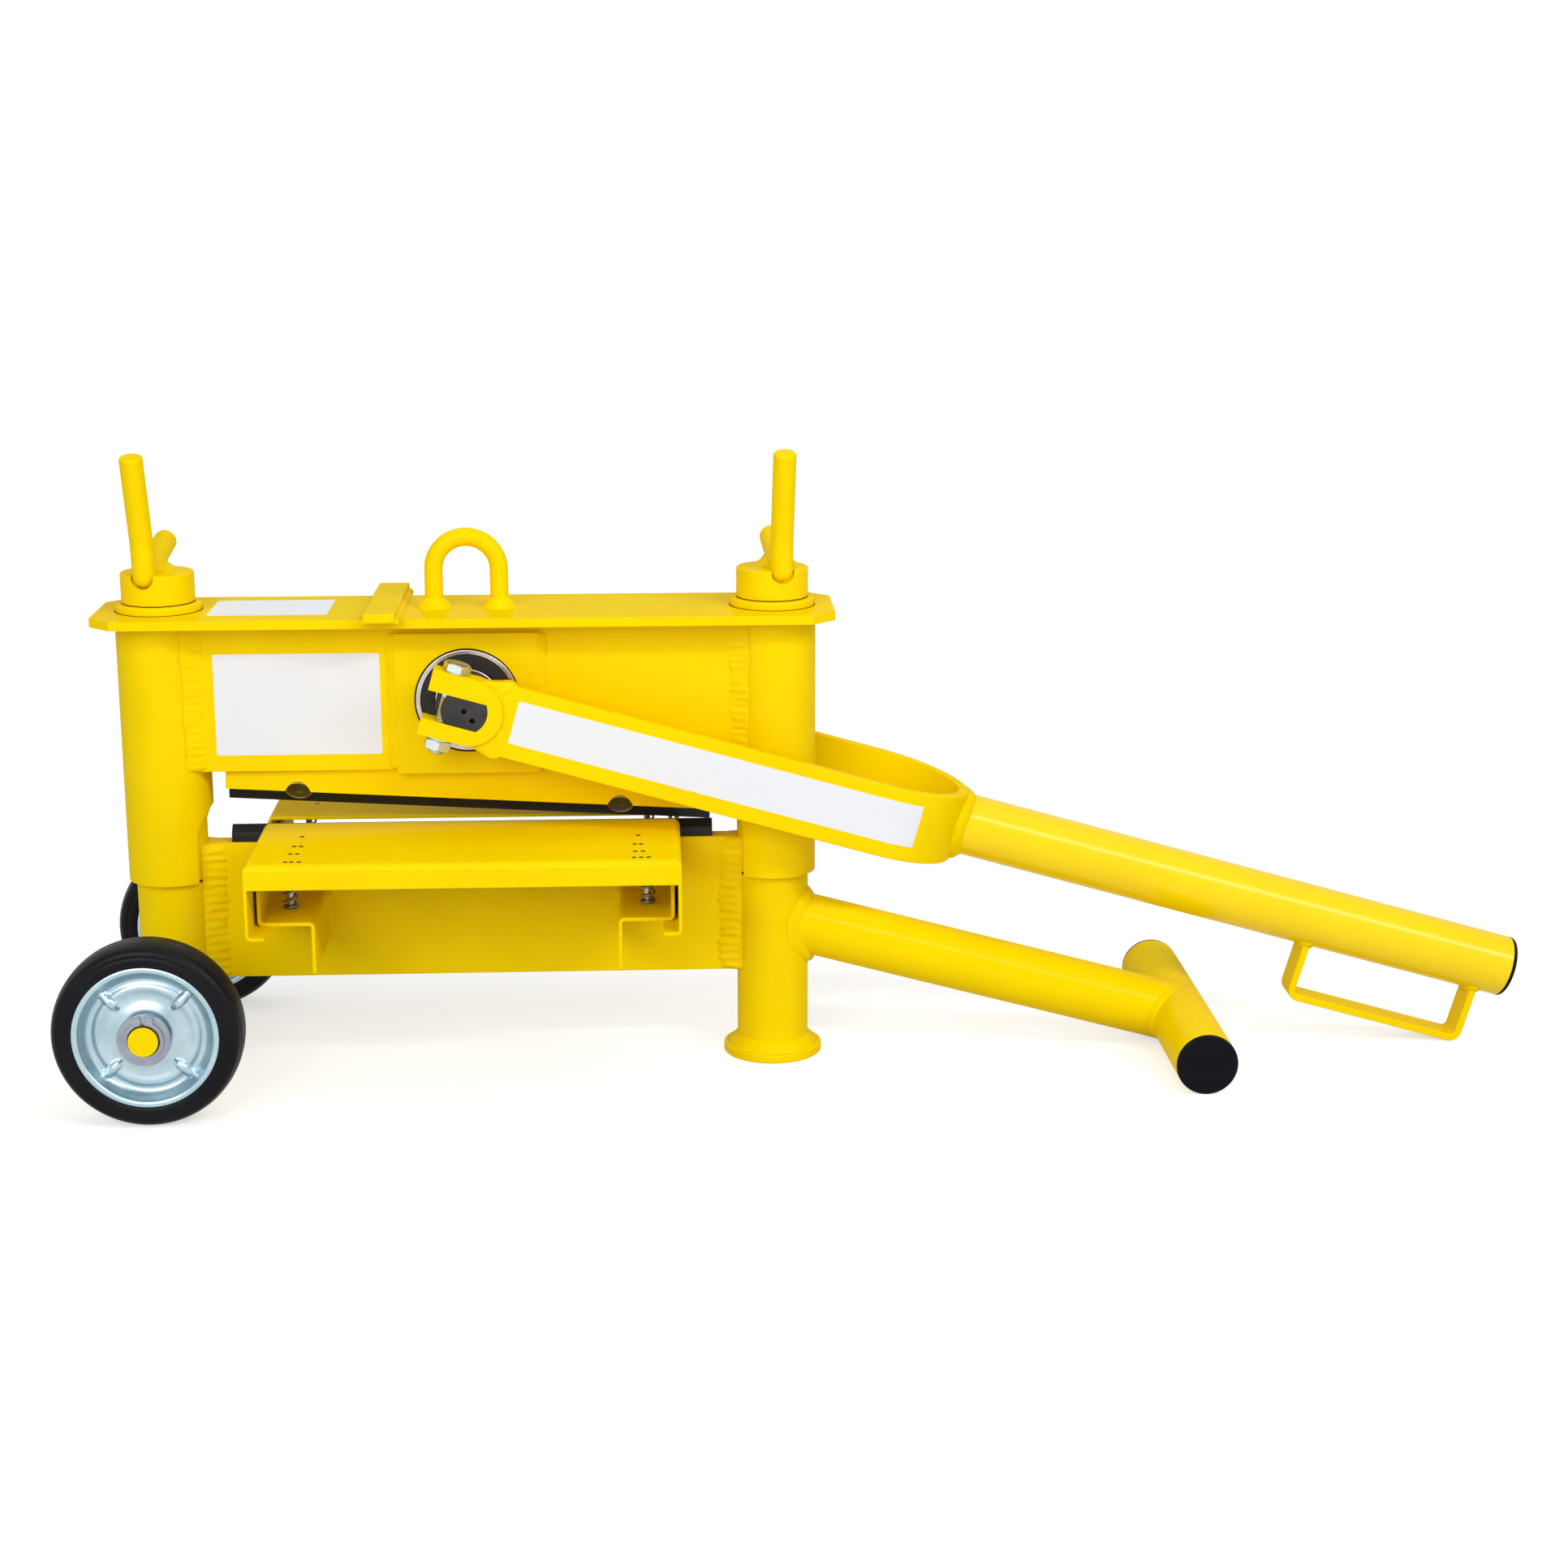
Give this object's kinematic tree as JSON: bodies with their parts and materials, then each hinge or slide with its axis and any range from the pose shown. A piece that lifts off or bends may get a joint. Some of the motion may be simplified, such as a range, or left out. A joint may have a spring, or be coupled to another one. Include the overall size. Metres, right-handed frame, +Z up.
{
  "type": "masonry block splitter",
  "caption": "Hand-lever block splitter: blades between round posts, height-locked sliding head, eccentric lever with yoke, sprung tables, wheels and tail stand.",
  "frame": {"origin": "middle of the bounding box on the floor plane", "axes": "+X towards the hand end of the lever, +Y away from the viewer of the picture, +Z up"},
  "size_m": [1.2928, 0.376, 0.5509],
  "materials": {
    "yellow_paint": "gloss",
    "black_plastic": "matt",
    "dark_steel": "satin",
    "zinc_plate": "satin",
    "bright_steel": "satin",
    "spring_steel": "satin",
    "tyre_rubber": "matt",
    "seal_rubber": "matt",
    "bush_plastic": "matt"
  },
  "bodies": {
    "frame": {"lower_beam": "yellow_paint", "left_post": "yellow_paint", "right_post": "yellow_paint", "foot_disc": "yellow_paint", "tail_tube": "yellow_paint", "tail_cross_tube": "yellow_paint", "tail_end_caps": "black_plastic", "wheel_axle": "yellow_paint", "axle_washers": "zinc_plate", "axle_circlips": "bright_steel", "lower_blade": "dark_steel", "front_table_brackets": "yellow_paint", "rear_table_brackets": "yellow_paint", "table_guide_bolts": "bright_steel", "post_keepers": "bright_steel", "front_table_springs": "spring_steel", "rear_table_springs": "spring_steel"},
    "head": {"left_sleeve": "yellow_paint", "right_sleeve": "yellow_paint", "guide_bushes": "bush_plastic", "front_side_plate": "yellow_paint", "rear_side_plate": "yellow_paint", "front_bearing_plate": "yellow_paint", "rear_bearing_plate": "yellow_paint", "bearing_outer_races": "bright_steel", "bearing_seals": "seal_rubber", "block_guides": "bright_steel", "top_plate": "yellow_paint", "lifting_eye": "yellow_paint", "lever_stop_bar": "yellow_paint", "lock_rings": "yellow_paint"},
    "left_lock": {"left_lock_collar": "yellow_paint", "left_lock_handle": "yellow_paint", "left_lock_rod": "bright_steel"},
    "right_lock": {"right_lock_collar": "yellow_paint", "right_lock_handle": "yellow_paint", "right_lock_rod": "bright_steel"},
    "lever": {"eccentric_shaft": "dark_steel", "bearing_inner_races": "bright_steel", "lever_forks": "yellow_paint", "lever_yoke": "yellow_paint", "clamp_bolts": "zinc_plate", "clamp_nuts": "zinc_plate", "lever_tube": "yellow_paint", "lever_end_cap": "black_plastic", "lever_grip": "yellow_paint"},
    "pressure_block": {"pressure_block": "bright_steel", "pivot_pin": "bright_steel"},
    "blade_carrier": {"blade_beam": "yellow_paint", "upper_blade": "dark_steel", "blade_screws": "dark_steel"},
    "front_table": {"front_table": "yellow_paint"},
    "rear_table": {"rear_table": "yellow_paint"},
    "front_wheel": {"front_wheel_tyre": "tyre_rubber", "front_wheel_rim": "zinc_plate", "front_wheel_hub": "zinc_plate"},
    "rear_wheel": {"rear_wheel_tyre": "tyre_rubber", "rear_wheel_rim": "zinc_plate", "rear_wheel_hub": "zinc_plate"}
  },
  "joints": [
    {"name": "head_slide", "type": "slide", "parent": "frame", "child": "head", "axis": [0, 0, 1], "range_m": [0, 0.115]},
    {"name": "left_lock_turn", "type": "hinge", "parent": "head", "child": "left_lock", "pos_m": [-0.56658, 0, 0.4181], "axis": [0, 0, -1], "range_deg": [0, 90]},
    {"name": "right_lock_turn", "type": "hinge", "parent": "head", "child": "right_lock", "pos_m": [-0.03458, 0, 0.4181], "axis": [0, 0, 1], "range_deg": [0, 90]},
    {"name": "lever_swing", "type": "hinge", "parent": "head", "child": "lever", "pos_m": [-0.30058, 0, 0.33421], "axis": [0, -1, 0], "range_deg": [0, 120]},
    {"name": "block_slide", "type": "slide", "parent": "head", "child": "pressure_block", "axis": [0, 0, 1], "range_m": [0, 0.01725]},
    {"name": "blade_tilt", "type": "hinge", "parent": "pressure_block", "child": "blade_carrier", "pos_m": [-0.30058, 0, 0.262], "axis": [0, -1, 0], "range_deg": [0, 6.5]},
    {"name": "front_table_press", "type": "slide", "parent": "frame", "child": "front_table", "axis": [0, 0, -1], "range_m": [0, 0.01], "stiffness_N_per_m": 20400, "springref_m": -0.003, "deforming": ["front_table_springs"]},
    {"name": "rear_table_press", "type": "slide", "parent": "frame", "child": "rear_table", "axis": [0, 0, -1], "range_m": [0, 0.01], "stiffness_N_per_m": 20400, "springref_m": -0.003, "deforming": ["rear_table_springs"]},
    {"name": "front_wheel_spin", "type": "hinge", "parent": "frame", "child": "front_wheel", "pos_m": [-0.56658, -0.157, 0.08], "axis": [0, 1, 0], "continuous": true},
    {"name": "rear_wheel_spin", "type": "hinge", "parent": "frame", "child": "rear_wheel", "pos_m": [-0.56658, 0.157, 0.08], "axis": [0, 1, 0], "continuous": true}
  ],
  "couplings": [
    {"joint": "block_slide", "follows": "lever_swing", "m_per_rad": 0.0082385}
  ]
}
